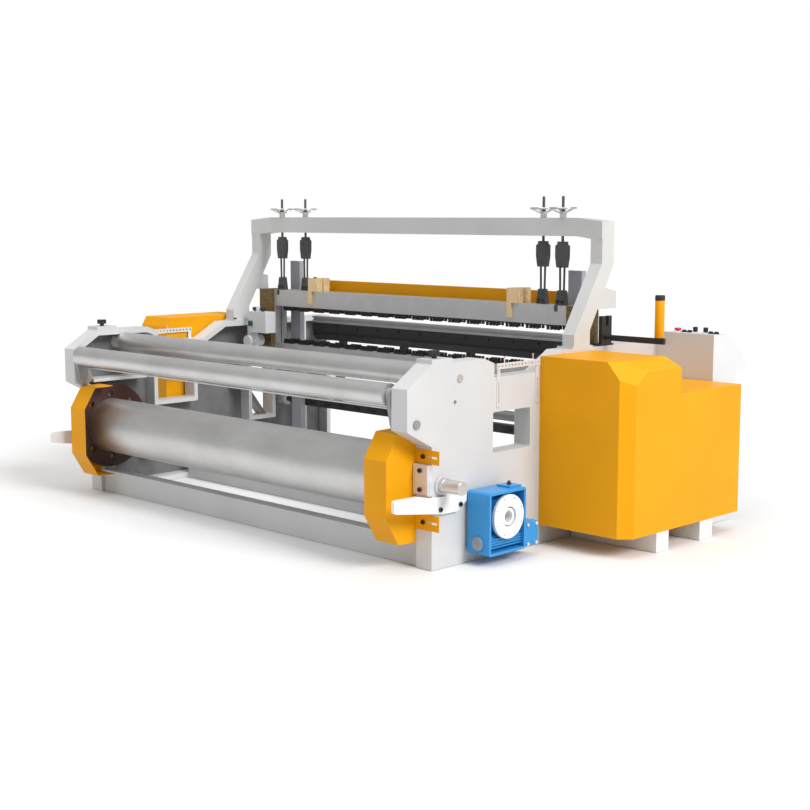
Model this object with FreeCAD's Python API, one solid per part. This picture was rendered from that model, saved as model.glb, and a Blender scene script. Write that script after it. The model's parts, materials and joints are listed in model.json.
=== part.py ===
"""Power loom: side frames, warp beam with worm let-off, rollers, gantry with
heald frames, sley, drive covers and control cabinet.

Millimetres. X runs across the loom (drive side at +X), Y from the warp beam
side to the far side, Z up from the floor. Sizes are measured from the warp
side face of the frame posts (Y = 0) and from the middle of the loom (X = 0);
the finished model is moved so that its origin is the middle of its footprint.
"""
import FreeCAD
import Part
import math
import os

V = FreeCAD.Vector

# ---- clearances and stock --------------------------------------------------
RUN = 0.3                  # gap between a moving piece and its seat
SHEET = 3.0                # guards and covers
SKIN = 20.0                # web of the C-section side frames
RIM = 35.0                 # rim of the C-section side frames

# ---- side frames -----------------------------------------------------------
FRAME_OUT = 1540.0         # outer face, either side of the middle
FRAME_WIDTH = 110.0
FRAME_IN = FRAME_OUT - FRAME_WIDTH
FRAME_TOP = 1048.0
FRAME_LENGTH = 2010.0
POST_DEPTH = 110.0         # closed box post under the nose
NOSE_REACH = 175.0
NOSE_FOOT = 632.0
NOSE_LOW = 724.0
NOSE_HIGH = 935.0
VALLEY_Y = (468.0, 840.0)  # dip in the top edge
VALLEY_Z = 945.0
SHOULDER_Y = 1025.0
SHOULDER_DROP = 18.0
SHOULDER_RUN = 29.0
PAD_LENGTH = 150.0         # thick plate under the star knobs
PAD_THICK = 21.0
WINDOW_1 = (460.0, 760.0, 550.0, 763.0)      # y0, y1, z0, z1
WINDOW_2 = (1262.0, 1450.0, 365.0, 763.0)
WINDOW_CORNER = 12.0
WINDOW_RIM = 28.0
LEDGE_REACH = 22.0

# ---- cross beams -----------------------------------------------------------
BEAM_HEIGHT = 140.0
BEAM_DEPTH = 80.0
FRONT_BEAM_Y = 24.0
MIDDLE_BEAM_Y = 695.0
REAR_BEAM_Y = 1900.0
POST_FOOT_THICK = 12.0
BREAST_Y = 1925.0          # breast beam on the far side
BREAST_Z = 985.0
BREAST_R = 38.0

# ---- warp beam and let-off -------------------------------------------------
WARP_Y = 67.0
WARP_Z = BEAM_HEIGHT + 293.0
LEDGE = (-50.0, 358.0, WARP_Z + 285, WARP_Z + 307)  # frames' inner ledge: y0, y1, z0, z1
BARREL_R = 172.0
BARREL_WALL = 10.0
WARP_SHAFT_R = 37.5
WARP_SHAFT_END = FRAME_OUT + 150.0
WARP_NECK_R = WARP_SHAFT_R - 2.5      # turned-down end of the shaft
WARP_NECK = 110.0
FLANGE_R = 272.0
FLANGE_X = FRAME_IN - 36.0   # inner face of each flange disc
FLANGE_THICK = 12.0
FLANGE_HOLES = 8
FLANGE_HOLE_R = 18.0
FLANGE_HOLE_CIRCLE = 206.0
BEARING_R = 50.0
MODULE = 6.0
GEAR_TEETH = 90
PINION_TEETH = 36
GEAR_GAP = 1.5             # beam flange to gear
GEAR_WIDTH = 15.0
LETOFF_ANGLE = 29.56       # the worm output lies this far below the beam axis
BACKLASH = 1.4

# ---- worm gearbox ----------------------------------------------------------
BOX_OFF = 20.0             # feet between side frame and gearbox
BOX_WIDTH = 151.0
BOX_FRONT = 152.0          # output axis to each face of the housing
BOX_REAR = 134.0
BOX_DOWN = 189.0
BOX_UP = 138.0
WORM_DROP = 130.0          # output axis to worm axis
OUTPUT_RING_R = 115.0
OUTPUT_RING_THICK = 16.0
OUTPUT_BORE_R = 30.0
OUTPUT_HUB_R = 45.0
OUTPUT_BOLT_CIRCLE = 100.0
OUTPUT_BOLTS = 8

# ---- rollers ---------------------------------------------------------------
BACK_Y = 202.0
BACK_Z = 962.0
BACK_R = 61.0
BACK_SHAFT_R = 20.0
TENSION_Y = -150.0
TENSION_Z = 896.0
TENSION_R = 58.5
TENSION_SHAFT_R = 15.0
PIVOT_Y = -112.0
PIVOT_Z = 757.0
PIVOT_R = 44.0
PIVOT_PIN_R = 15.0
ARM_THICK = 28.0
ARM_HEAD_R = 36.0
GUIDE_ROD_Y = -100.0
GUIDE_ROD_Z = 819.0
GUIDE_ROD_R = 6.0

# ---- beam guards and loading arms ------------------------------------------
GUARD_SHAPE = ((0.0, WARP_Z + 271), (-130.0, WARP_Z + 267), (-212.0, WARP_Z + 137),
               (-212.0, WARP_Z - 156), (-126.0, WARP_Z - 297), (0.0, WARP_Z - 301))
GUARD_BAND = 158.0
TAB_Z = ((WARP_Z - 228, WARP_Z - 147), (WARP_Z + 112, WARP_Z + 183))
TAB_REACH = 53.0           # past the outer face of the frame
TAB_THICK = 4.0
ARM_SHAPE = ((-285.0, WARP_Z - 41), (-275.0, WARP_Z - 31), (-120.0, WARP_Z - 33),
             (-20.0, WARP_Z - 55), (238.0, WARP_Z - 61), (238.0, WARP_Z - 100),
             (170.0, WARP_Z - 147), (66.0, WARP_Z - 147), (-274.0, WARP_Z - 98), (-285.0, WARP_Z - 88))
LOAD_ARM_THICK = 20.0
ARM_BOLTS = ((41.0, WARP_Z - 120), (189.0, WARP_Z - 113))
CAP_Z = (WARP_Z - 48, WARP_Z + 109)
CAP_THICK = 28.0
BOLT_R = 12.0
BOLT_HEAD = 9.0

# ---- knobs and pin bars ----------------------------------------------------
KNOB_Y = 72.0
KNOB_R = 30.0
KNOB_LOBES = 5
KNOB_THICK = 26.0
KNOB_STEM = 14.0
KNOB_STUD_R = 6.0
BAR_Y = (479.0, 829.0)
BAR_Z = (986.0, 1016.0)
BAR_HOLES = 13
STRIP_WIDTH = 24.0
STRIP_FOOT = 786.0
BAR_THICK = 5.0
PIN_HEIGHT = 34.0

# ---- gantry ----------------------------------------------------------------
LEG_WIDTH = 82.0
LEG_BASE = 76.0            # upright foot of each leg
LEG_TOP = FRAME_TOP + 599.0
LEG_SHAPE = ((1130.0, FRAME_TOP), (1130.0, FRAME_TOP + LEG_BASE), (1371.0, LEG_TOP - 137),
             (1371.0, LEG_TOP),
             (1477.0, LEG_TOP), (1477.0, LEG_TOP - 146), (1271.0, FRAME_TOP + LEG_BASE + 20),
             (1271.0, FRAME_TOP))
LEG_FOOT = (1118.0, 1296.0)
LEG_FOOT_THICK = 12.0
GANTRY_LOW = LEG_TOP + 13.0
GANTRY_HIGH = GANTRY_LOW + 104.0
GANTRY_END_LOW = LEG_TOP
GANTRY_END_HIGH = GANTRY_HIGH - 18.0
GANTRY_MID = FRAME_OUT - 192.0   # where the end pieces begin
GANTRY_Y = (1386.0, 1486.0)
GANTRY_END_Y = (1366.0, 1480.0)
BRACE_SHAPE = ((1395.0, LEG_TOP - 268), (1506.0, LEG_TOP - 294), (1509.0, LEG_TOP - 390),
               (1325.0, LEG_TOP - 389))
BRACE_THICK = 10.0

# ---- heald frames ----------------------------------------------------------
HEALD_FRONT_Y = 1397.0
HEALD_THICK = 44.0
HEALD_GAP = 8.0            # air between the two frames
HEALD_END = FRAME_IN - 120.0
RAIL_Z = (1150.0, 1263.0)
LOW_RAIL_Z = (837.0, 889.0)
STAY_WIDTH = 20.0
TONGUE = 10.0
TONGUE_THICK = 20.0
CLIPS = 16
CLIP_PITCH = 157.0
CLIP_LENGTH = 104.0
CLIP_THICK = 14.0
CLIP_BAR = 12.0
CLIP_REACH = 32.0
CLIP_TEETH = 4
TOOTH = 12.0
WOOD_X = 891.0
WOOD_WIDTH = 86.0
WOOD_TOP = 1353.0
WOOD_LEG = 36.0
WOOD_LEG_FOOT = 1177.0
WOOD_LEG_THICK = 13.0
WOOD_GROOVES = 3

# ---- lifters ---------------------------------------------------------------
LIFT_X = (FRAME_IN - 192.0, FRAME_IN - 377.0)  # outer pair on the front frame, inner pair on the rear
SPINDLE_R = 8.0
SPINDLE_TOP = GANTRY_HIGH + 123.0
LIFT_CAP_Z = (GANTRY_LOW - 48.0, GANTRY_LOW - 31.0)
LIFT_CAP_HALF = 27.5
LIFT_HALF = 40.5
LIFT_BOTTOM_HALF = 30.0
LIFT_WAIST_Z = GANTRY_LOW - 120.0
LIFT_BOTTOM_Z = GANTRY_LOW - 180.0
LIFT_DEPTH = 36.0
STRAP_WIDTH = 10.0
STRAP_THICK = 8.0
STRAP_TOP_HALF = 17.0
STRAP_IN = 60.0            # strap length inside the spring housing
STRAP_FOOT_HALF = 14.0
CLAMP_TOP = RAIL_Z[1] + 87.0
CLAMP_TOP_HALF = 22.5
CLAMP_FOOT_HALF = 36.5
CLAMP_DEPTH = 34.0
HOOK_WIDTH = 22.0
HOOK_FOOT = 1228.0
WHEEL_R = 80.0
WHEEL_RIM_R = 6.0
WHEEL_RIM_Z = GANTRY_HIGH + 54.0
WHEEL_HUB_R = 19.0
WHEEL_HUB_TOP = GANTRY_HIGH + 36.0
WHEEL_SPOKES = 5

# ---- pieces behind the heald frames ----------------------------------------
COLUMN_Y = (HEALD_FRONT_Y - 53.0, HEALD_FRONT_Y + 96.0)
COLUMN_Z = (870.0, 1265.0)
POST_X = (FRAME_IN - 238.0, FRAME_IN - 140.0)
POST_Y = (1512.0, 1552.0)
POST_TOP = 1460.0
GUARD_BAR_END = FRAME_IN - 277.0
GUARD_BAR_Z = (1250.0, 1332.0)
GUARD_BAR_DEPTH = 38.0
ROCKER_Y = 1600.0
ROCKER_Z = 461.0
ROCKER_HALF = 27.0
ROCKER_END = FRAME_IN - 50.0
JOURNAL_R = 20.0
SLEY_END = FRAME_IN - 270.0
SLEY_Z = (908.0, 1030.0)
SLEY_DEPTH = 90.0
SWORD_X = (-900.0, -300.0, 300.0, 900.0)
SWORD_WIDTH = 36.0
REED_RAIL = 18.0
REED_TOP = 1074.0
TAKEUP_Y = 1840.0
TAKEUP_Z = 760.0
TAKEUP_R = 75.0

# ---- covers, cabinet and drive ---------------------------------------------
COVER_END = FRAME_OUT + 584.0
COVER_Y = (840.0, 1307.0, 1906.0)
COVER_FOOT = 110.0
COVER_TOP = 1030.0
COVER_LOW_TOP = 838.0
FEET_Y = ((1119.0, 1231.0), (1530.0, 1654.0))
LEFT_COVER_OFF = 16.0      # the pin bar passes between frame and cover
LEFT_COVER_END = FRAME_OUT + 310.0
LEFT_COVER_SHAPE = ((618.0, 110.0), (618.0, 952.0), (637.0, 1026.0), (671.0, 1085.0),
                    (1300.0, 1085.0), (1300.0, 110.0))
CABINET_X = (FRAME_OUT, FRAME_OUT + 394.0)
CABINET_SHAPE = ((1910.0, 0.0), (1910.0, 1103.0), (2068.0, 1098.0), (2260.0, 946.0),
                 (2263.0, 887.0), (2154.0, 880.0), (2150.0, 0.0))
BUTTON_Y = 1985.0
MUSHROOM_X = FRAME_OUT + 100.0
PUSH_X = (FRAME_OUT + 220.0, FRAME_OUT + 290.0)
HANDLE_Y = 1420.0
HANDLE_Z = FRAME_TOP + 47.0
HANDLE_X = (FRAME_OUT + 35.0, FRAME_OUT + 395.0)
GRIP_X = FRAME_OUT + 359.0
GRIP_R = 25.0
GRIP_TOP = HANDLE_Z + 250.0
FORK_Y = (1390.0, 1480.0)
FORK_TOP = FRAME_TOP + 167.0
CRANK_Y = 1180.0
CRANK_Z = 620.0
CRANK_R = 30.0
FLYWHEEL_R = 230.0
UNIT_X = (50.0 - FRAME_IN, 235.0 - FRAME_IN)  # edge-twisting unit inside the left frame
UNIT_Y = (1200.0, 1290.0)
UNIT_Z = (FRAME_TOP - 78.0, FRAME_TOP + 67.0)
CUP_R = 40.0
CUP_Z = FRAME_TOP - 142.0


# ---- helpers ---------------------------------------------------------------
def box(x, y, z):
    """Box from three (low, high) pairs."""
    return Part.makeBox(x[1] - x[0], y[1] - y[0], z[1] - z[0], V(x[0], y[0], z[0]))


def prism_x(points, x0, x1):
    """Outline in (Y, Z) carried along X."""
    wire = Part.makePolygon([V(x0, y, z) for y, z in points] + [V(x0, *points[0])])
    return Part.Face(wire).extrude(V(x1 - x0, 0, 0))


def prism_y(points, y0, y1):
    """Outline in (X, Z) carried along Y."""
    wire = Part.makePolygon([V(x, y0, z) for x, z in points] + [V(points[0][0], y0, points[0][1])])
    return Part.Face(wire).extrude(V(0, y1 - y0, 0))


def prism_z(points, z0, z1):
    """Outline in (X, Y) carried along Z."""
    wire = Part.makePolygon([V(x, y, z0) for x, y in points] + [V(*points[0], z0)])
    return Part.Face(wire).extrude(V(0, 0, z1 - z0))


def rod_x(y, z, radius, x0, x1):
    return Part.makeCylinder(radius, x1 - x0, V(x0, y, z), V(1, 0, 0))


def rod_y(x, z, radius, y0, y1):
    return Part.makeCylinder(radius, y1 - y0, V(x, y0, z), V(0, 1, 0))


def rod_z(x, y, radius, z0, z1):
    return Part.makeCylinder(radius, z1 - z0, V(x, y, z0), V(0, 0, 1))


def flip(shape):
    """The same piece on the other side of the loom."""
    return shape.mirror(V(0, 0, 0), V(1, 0, 0))


def pair(shape):
    return Part.makeCompound([shape, flip(shape)])


def join(first, *others):
    return first.fuse(list(others)).removeSplitter()


def group(shapes):
    return Part.makeCompound(list(shapes))


def window(span, x0, x1, corner):
    """Prism of a window with rounded corners."""
    y0, y1, z0, z1 = span
    block = box((x0, x1), (y0, y1), (z0, z1))
    along_x = [e for e in block.Edges if abs(e.tangentAt(e.FirstParameter).x) > 0.9]
    return block.makeFillet(corner, along_x)


def grown(span, by):
    y0, y1, z0, z1 = span
    return (y0 - by, y1 + by, z0 - by, z1 + by)


def gear_outline(teeth, phase):
    """Closed list of (y, z) about the origin: straight flanked teeth with backlash."""
    pitch_r = MODULE * teeth / 2
    addendum = 0.83 * MODULE
    dedendum = 1.2 * MODULE
    half = (math.pi * MODULE / 2 - BACKLASH / 2) / 2
    slope = math.tan(math.radians(20))
    points = []
    for tooth in range(teeth):
        middle = math.radians(phase) + 2 * math.pi * tooth / teeth
        for side, lift in ((-1, -dedendum), (-1, addendum), (1, addendum), (1, -dedendum)):
            radius = pitch_r + lift
            turn = middle + side * (half - lift * slope) / radius
            points.append((radius * math.cos(turn), radius * math.sin(turn)))
    return points


# ---- side frames and cross beams -------------------------------------------
PIVOT_AT = (PIVOT_Y, PIVOT_Z)
BACK_AT = (BACK_Y, BACK_Z)
WARP_AT = (WARP_Y, WARP_Z)
ROCKER_AT = (ROCKER_Y, ROCKER_Z)
TAKEUP_AT = (TAKEUP_Y, TAKEUP_Z)
CENTRES = MODULE * (GEAR_TEETH + PINION_TEETH) / 2
OUTPUT_AT = (WARP_Y + CENTRES * math.cos(math.radians(LETOFF_ANGLE)),
             WARP_Z - CENTRES * math.sin(math.radians(LETOFF_ANGLE)))
CRANK_AT = (CRANK_Y, CRANK_Z)
PAD_TOP = FRAME_TOP + PAD_THICK


def frame_profile():
    return [(0, 0), (0, NOSE_FOOT), (-NOSE_REACH, NOSE_LOW), (-NOSE_REACH, NOSE_HIGH),
            (0, FRAME_TOP), (390, FRAME_TOP), (VALLEY_Y[0], FRAME_TOP - 30),
            (VALLEY_Y[0], VALLEY_Z), (VALLEY_Y[1], VALLEY_Z),
            (SHOULDER_Y - SHOULDER_RUN, FRAME_TOP - SHOULDER_DROP), (SHOULDER_Y, FRAME_TOP),
            (FRAME_LENGTH, FRAME_TOP), (FRAME_LENGTH, 0)]


def side_frame():
    """Right-hand side frame: web outside, rim and ribs inside."""
    profile = frame_profile()
    body = prism_x(profile, FRAME_IN, FRAME_OUT)
    face = Part.Face(Part.makePolygon([V(FRAME_IN, y, z) for y, z in profile + profile[:1]]))
    pocket = face.makeOffset2D(-RIM).extrude(V(FRAME_WIDTH - SKIN, 0, 0))
    inner = (FRAME_IN, FRAME_OUT - SKIN)
    bosses = [rod_x(y, z, r, *inner) for (y, z), r in (
        (PIVOT_AT, PIVOT_R), (BACK_AT, 2.2 * BACK_SHAFT_R), (OUTPUT_AT, BEARING_R),
        (ROCKER_AT, 2.2 * JOURNAL_R), (TAKEUP_AT, 2.2 * JOURNAL_R), (CRANK_AT, 2 * CRANK_R))]
    ribs = [box(inner, (0, POST_DEPTH), (0, NOSE_FOOT)),
            box(inner, (1740, 1740 + RIM), (0, FRAME_TOP)),
            window(grown(WINDOW_1, WINDOW_RIM), *inner, WINDOW_CORNER),
            window(grown(WINDOW_2, WINDOW_RIM), *inner, WINDOW_CORNER)]
    body = body.cut(pocket.cut(group(bosses + ribs).Solids))
    holes = [window(span, FRAME_IN - 1, FRAME_OUT + 1, WINDOW_CORNER) for span in (WINDOW_1, WINDOW_2)]
    body = body.cut(holes)
    strut = prism_x([(1255, 580), (1255, 528), (1390, 350), (1430, 350)],
                    FRAME_IN + RIM, FRAME_OUT)
    ledge = box((FRAME_IN - LEDGE_REACH, FRAME_OUT - SKIN + 1), LEDGE[:2], LEDGE[2:])
    pad = box((FRAME_IN, FRAME_OUT), (0, PAD_LENGTH), (FRAME_TOP - 1, PAD_TOP))
    ring = rod_x(*WARP_AT, BEARING_R, FRAME_OUT - 1, FRAME_OUT + 12)
    body = join(body, strut, ledge, pad, ring)
    bores = [rod_x(y, z, r + RUN, FRAME_IN - 1, FRAME_OUT + 20) for (y, z), r in (
        (PIVOT_AT, PIVOT_PIN_R), (BACK_AT, BACK_SHAFT_R), (WARP_AT, WARP_SHAFT_R),
        (OUTPUT_AT, OUTPUT_HUB_R), (ROCKER_AT, JOURNAL_R), (TAKEUP_AT, JOURNAL_R),
        ((169, 843), 11), (CRANK_AT, CRANK_R))]
    stud_x = FRAME_OUT - FRAME_WIDTH / 2
    bores.append(rod_z(stud_x, KNOB_Y, KNOB_STUD_R + RUN, FRAME_TOP - RIM - 5, PAD_TOP + 1))
    return body.cut(bores)


def cross_beams():
    """Four box beams on the floor and the round breast beam, between the frames."""
    beams = []
    post_beam_y = (POST_Y[0] + POST_Y[1] - BEAM_DEPTH) / 2
    for y in (FRONT_BEAM_Y, MIDDLE_BEAM_Y, post_beam_y, REAR_BEAM_Y):
        outer = box((-FRAME_IN, FRAME_IN), (y, y + BEAM_DEPTH), (0, BEAM_HEIGHT))
        inner = box((-FRAME_IN + 8, FRAME_IN - 8), (y + 6, y + BEAM_DEPTH - 6), (6, BEAM_HEIGHT - 6))
        beams.append(outer.cut(inner))
    beams.append(rod_x(BREAST_Y, BREAST_Z, BREAST_R, -FRAME_IN, FRAME_IN))
    return group(beams)


# ---- warp beam and let-off -------------------------------------------------
GEAR_X = FLANGE_X + FLANGE_THICK + GEAR_GAP
SPACER_R = 80.0


def beam_barrel():
    """Barrel tube with end plates, journals and gear seat, as one weldment."""
    outer = rod_x(*WARP_AT, BARREL_R, -FLANGE_X, FLANGE_X)
    hollow = rod_x(*WARP_AT, BARREL_R - BARREL_WALL, -FLANGE_X + 12, FLANGE_X - 12)
    shaft = rod_x(*WARP_AT, WARP_SHAFT_R, -FRAME_OUT - 30, WARP_SHAFT_END - WARP_NECK)
    neck = rod_x(*WARP_AT, WARP_NECK_R, 0, WARP_SHAFT_END)
    shaft, neck = (rod.makeChamfer(2, [rod.Edges[0], rod.Edges[2]]) for rod in (shaft, neck))
    return join(outer.cut(hollow), shaft, neck)


def beam_flanges():
    """Two lightened discs on the beam journals."""
    disc = rod_x(*WARP_AT, FLANGE_R, FLANGE_X, FLANGE_X + FLANGE_THICK)
    cuts = [rod_x(*WARP_AT, WARP_SHAFT_R, FLANGE_X - 1, FLANGE_X + 20)]
    for hole in range(FLANGE_HOLES):
        turn = 2 * math.pi * hole / FLANGE_HOLES
        cuts.append(rod_x(WARP_Y + FLANGE_HOLE_CIRCLE * math.cos(turn),
                          WARP_Z + FLANGE_HOLE_CIRCLE * math.sin(turn),
                          FLANGE_HOLE_R, FLANGE_X - 1, FLANGE_X + 20))
    return pair(disc.cut(cuts))


def toothed_wheel(teeth, phase, centre, bore_r):
    outline = [(centre[0] + y, centre[1] + z) for y, z in gear_outline(teeth, phase)]
    return prism_x(outline, GEAR_X, GEAR_X + GEAR_WIDTH).cut(
        rod_x(*centre, bore_r, GEAR_X - 1, GEAR_X + GEAR_WIDTH + 1))


def beam_gear():
    """Gear on the right-hand flange, with its spacer."""
    gear = toothed_wheel(GEAR_TEETH, -LETOFF_ANGLE, WARP_AT, WARP_SHAFT_R)
    spacer = rod_x(*WARP_AT, SPACER_R, FLANGE_X + FLANGE_THICK, GEAR_X + 1)
    return join(gear, spacer.cut(rod_x(*WARP_AT, WARP_SHAFT_R, FLANGE_X, GEAR_X + 2)))


def letoff_pinion():
    return toothed_wheel(PINION_TEETH, 180 - LETOFF_ANGLE + 180 / PINION_TEETH, OUTPUT_AT, OUTPUT_HUB_R)


# ---- worm gearbox ----------------------------------------------------------
BOX_X = (FRAME_OUT + BOX_OFF, FRAME_OUT + BOX_OFF + BOX_WIDTH)
BOX_Y = (OUTPUT_AT[0] - BOX_FRONT, OUTPUT_AT[0] + BOX_REAR)
BOX_Z = (OUTPUT_AT[1] - BOX_DOWN, OUTPUT_AT[1] + BOX_UP)
WORM_AT = ((BOX_X[0] + BOX_X[1]) / 2, OUTPUT_AT[1] - WORM_DROP)
RING_BACK = BOX_X[1] - OUTPUT_RING_THICK


def gearbox_housing():
    """Cast housing with a recessed face round the output, its feet and its input stage."""
    body = box(BOX_X, BOX_Y, BOX_Z)
    body = body.makeChamfer(10, [e for e in body.Edges if abs(e.tangentAt(e.FirstParameter).x) > 0.9])
    wall = 14.0
    recess = box((BOX_X[1] - 60, BOX_X[1] + 1), (BOX_Y[0] + wall, BOX_Y[1] - wall),
                 (BOX_Z[0] + wall, BOX_Z[1] - wall))
    hub = rod_x(*OUTPUT_AT, OUTPUT_RING_R - 12, BOX_X[1] - 61, RING_BACK)
    worm = rod_y(*WORM_AT, 52, BOX_Y[0] + 1, BOX_Y[1] - 1)
    body = join(body.cut(recess), hub, worm.common(body))
    ribs = [box((BOX_X[1] - 61, RING_BACK), (BOX_Y[0] + 5, BOX_Y[1] - 5), (z, z + 5))
            for z in (BOX_Z[0] + 34 + 14 * k for k in range(4))]
    feet = [rod_x(y, z, 20, FRAME_OUT, BOX_X[0] + 1)
            for y in (BOX_Y[0] + 34, BOX_Y[1] - 34) for z in (BOX_Z[0] + 34, BOX_Z[1] - 34)]
    cover = rod_y(*WORM_AT, 40, BOX_Y[0] - 6, BOX_Y[0] + 1)
    plug = box((BOX_X[0] + 30, BOX_X[1] - 30), (BOX_Y[1] - 95, BOX_Y[1] - 5), (BOX_Z[1] - 1, BOX_Z[1] + 9))
    flange = rod_y(*WORM_AT, 76, BOX_Y[1] - 1, BOX_Y[1] + 24)
    stage = box((WORM_AT[0] - 60, WORM_AT[0] + 60), (BOX_Y[1] + 23, BOX_Y[1] + 118),
                (WORM_AT[1] - 58, WORM_AT[1] + 70))
    stage = stage.makeChamfer(8, [e for e in stage.Edges if abs(e.tangentAt(e.FirstParameter).y) > 0.9])
    body = join(body, *ribs, *feet, cover, plug, flange, stage)
    return body.cut(rod_x(*OUTPUT_AT, OUTPUT_HUB_R + RUN, FRAME_OUT - 1, BOX_X[1] + 1))


def bolt_ring(count, circle, centre, radius, x0, x1):
    """Equally spaced rods along X."""
    rods = []
    for k in range(count):
        turn = 2 * math.pi * (k + 0.5) / count
        rods.append(rod_x(centre[0] + circle * math.cos(turn), centre[1] + circle * math.sin(turn),
                          radius, x0, x1))
    return rods


def gearbox_flange():
    """Output flange ring, bolted to the housing."""
    ring = rod_x(*OUTPUT_AT, OUTPUT_RING_R, RING_BACK, BOX_X[1] + 3)
    ring = ring.makeChamfer(2, [ring.Edges[0]])
    cuts = bolt_ring(OUTPUT_BOLTS, OUTPUT_BOLT_CIRCLE, OUTPUT_AT, 5, RING_BACK - 1, BOX_X[1] + 4)
    cuts.append(rod_x(*OUTPUT_AT, OUTPUT_HUB_R + 8, RING_BACK - 1, BOX_X[1] + 4))
    return ring.cut(cuts)


def gearbox_hollow_shaft():
    shaft = rod_x(*OUTPUT_AT, OUTPUT_HUB_R, GEAR_X, BOX_X[1] - 4)
    bore = rod_x(*OUTPUT_AT, OUTPUT_BORE_R, GEAR_X - 1, BOX_X[1])
    key = box((BOX_X[0], BOX_X[1]), (OUTPUT_AT[0] - 6, OUTPUT_AT[0] + 6),
              (OUTPUT_AT[1] + OUTPUT_BORE_R - 3, OUTPUT_AT[1] + OUTPUT_BORE_R + 4))
    return shaft.cut([bore, key])


# ---- rollers and tension arms ----------------------------------------------
ARM_X = FRAME_IN - 5 - ARM_THICK


def back_rest_roller():
    body = rod_x(*BACK_AT, BACK_R, -FRAME_IN + 8, FRAME_IN - 8)
    shaft = rod_x(*BACK_AT, BACK_SHAFT_R, -FRAME_OUT - 6, FRAME_OUT + 6)
    return join(body, shaft)


def tension_arm():
    """Swing arm: boss on the frame pivot, head on the roller, as one casting."""
    x0, x1 = ARM_X, ARM_X + ARM_THICK
    lean = math.atan2(TENSION_Z - PIVOT_Z, TENSION_Y - PIVOT_Y)
    side = (math.sin(lean), -math.cos(lean))
    sides = []
    for y, z, r, s in ((PIVOT_Y, PIVOT_Z, PIVOT_R, 1), (TENSION_Y, TENSION_Z, ARM_HEAD_R, 1),
                       (TENSION_Y, TENSION_Z, ARM_HEAD_R, -1), (PIVOT_Y, PIVOT_Z, PIVOT_R, -1)):
        sides.append((y + s * r * side[0], z + s * r * side[1]))
    arm = join(prism_x(sides, x0, x1), rod_x(*PIVOT_AT, PIVOT_R, x0, x1),
               rod_x(TENSION_Y, TENSION_Z, ARM_HEAD_R, x0, x1))
    pin = rod_x(*PIVOT_AT, PIVOT_PIN_R, x0, FRAME_OUT)
    cap = rod_x(*PIVOT_AT, PIVOT_PIN_R + 8, FRAME_OUT + RUN, FRAME_OUT + 8)
    stub = rod_x(*PIVOT_AT, PIVOT_PIN_R, FRAME_OUT - 1, FRAME_OUT + 1)
    arm = join(arm, pin, stub, cap)
    return arm.cut([rod_x(TENSION_Y, TENSION_Z, TENSION_SHAFT_R + RUN, x0 - 1, x1 + 1),
                    rod_x(GUIDE_ROD_Y, GUIDE_ROD_Z, GUIDE_ROD_R, x0 - 1, x0 + 10)])


def tension_roller():
    body = rod_x(TENSION_Y, TENSION_Z, TENSION_R, -ARM_X + 3, ARM_X - 3)
    shaft = rod_x(TENSION_Y, TENSION_Z, TENSION_SHAFT_R, -ARM_X - ARM_THICK, ARM_X + ARM_THICK)
    return join(body, shaft)


def warp_guide_bar():
    return rod_x(GUIDE_ROD_Y, GUIDE_ROD_Z, GUIDE_ROD_R, -ARM_X - 10, ARM_X + 10)


# ---- guards, loading arms, bearing caps, bolts -----------------------------
def beam_guard():
    """Bent sheet guard round the end of the warp beam, with slotted fixing tabs."""
    solid = prism_x(GUARD_SHAPE, FRAME_IN - GUARD_BAND, FRAME_IN)
    open_faces = [f for f in solid.Faces
                  if abs(f.CenterOfMass.y) < 0.01 or abs(f.CenterOfMass.x - FRAME_IN + GUARD_BAND) < 0.01]
    shell = solid.makeThickness(open_faces, -SHEET, 0.001)
    tabs = []
    for z0, z1 in TAB_Z:
        tab = box((FRAME_IN - SHEET, FRAME_OUT + TAB_REACH), (-TAB_THICK, 0), (z0, z1))
        middle = (z0 + z1) / 2
        slot = box((FRAME_OUT - 30, FRAME_OUT + 39), (-TAB_THICK - 1, 1), (middle - 6, middle + 6))
        tabs.append(tab.cut(slot))
    return join(shell, *tabs)


def loading_arm():
    """Ramp arm that carries the beam journal into its bearing."""
    return prism_x(ARM_SHAPE, FRAME_OUT, FRAME_OUT + LOAD_ARM_THICK)


def bearing_cap():
    cap = box((FRAME_IN, FRAME_OUT), (-CAP_THICK, 0), CAP_Z)
    return cap.makeChamfer(6, [e for e in cap.Edges if abs(e.CenterOfMass.y + CAP_THICK) < 0.01])


def bolt_y(x, z, y):
    """Socket screw whose head stands on a face that looks to -Y."""
    head = rod_y(x, z, BOLT_R, y - BOLT_HEAD, y)
    return head.cut(rod_y(x, z, BOLT_R / 2, y - BOLT_HEAD, y - BOLT_HEAD / 2))


def bolt_x(y, z, x):
    """Socket screw whose head stands on a face that looks to +X."""
    head = rod_x(y, z, BOLT_R, x, x + BOLT_HEAD)
    return head.cut(rod_x(y, z, BOLT_R / 2, x + BOLT_HEAD / 2, x + BOLT_HEAD))


def black_bolts():
    """Socket screws of both sides: loading arms, bearing caps, guard tabs and gantry feet."""
    arm_face = FRAME_OUT + LOAD_ARM_THICK
    bolts = [bolt_x(y, z, arm_face) for y, z in ARM_BOLTS]
    cap_x = (FRAME_IN + FRAME_OUT) / 2
    bolts += [bolt_y(cap_x, z, -CAP_THICK) for z in (CAP_Z[0] + 30, CAP_Z[1] - 30)]
    bolts += [bolt_y(cap_x, (z0 + z1) / 2, -TAB_THICK) for z0, z1 in TAB_Z]
    foot_top = FRAME_TOP + LEG_FOOT_THICK
    for y in (LEG_FOOT[0] + 14, LEG_FOOT[1] - 14):
        bolts.append(rod_z(FRAME_IN + 14, y, BOLT_R, foot_top, foot_top + BOLT_HEAD))
    return group(bolts + [flip(b) for b in bolts])


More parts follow.
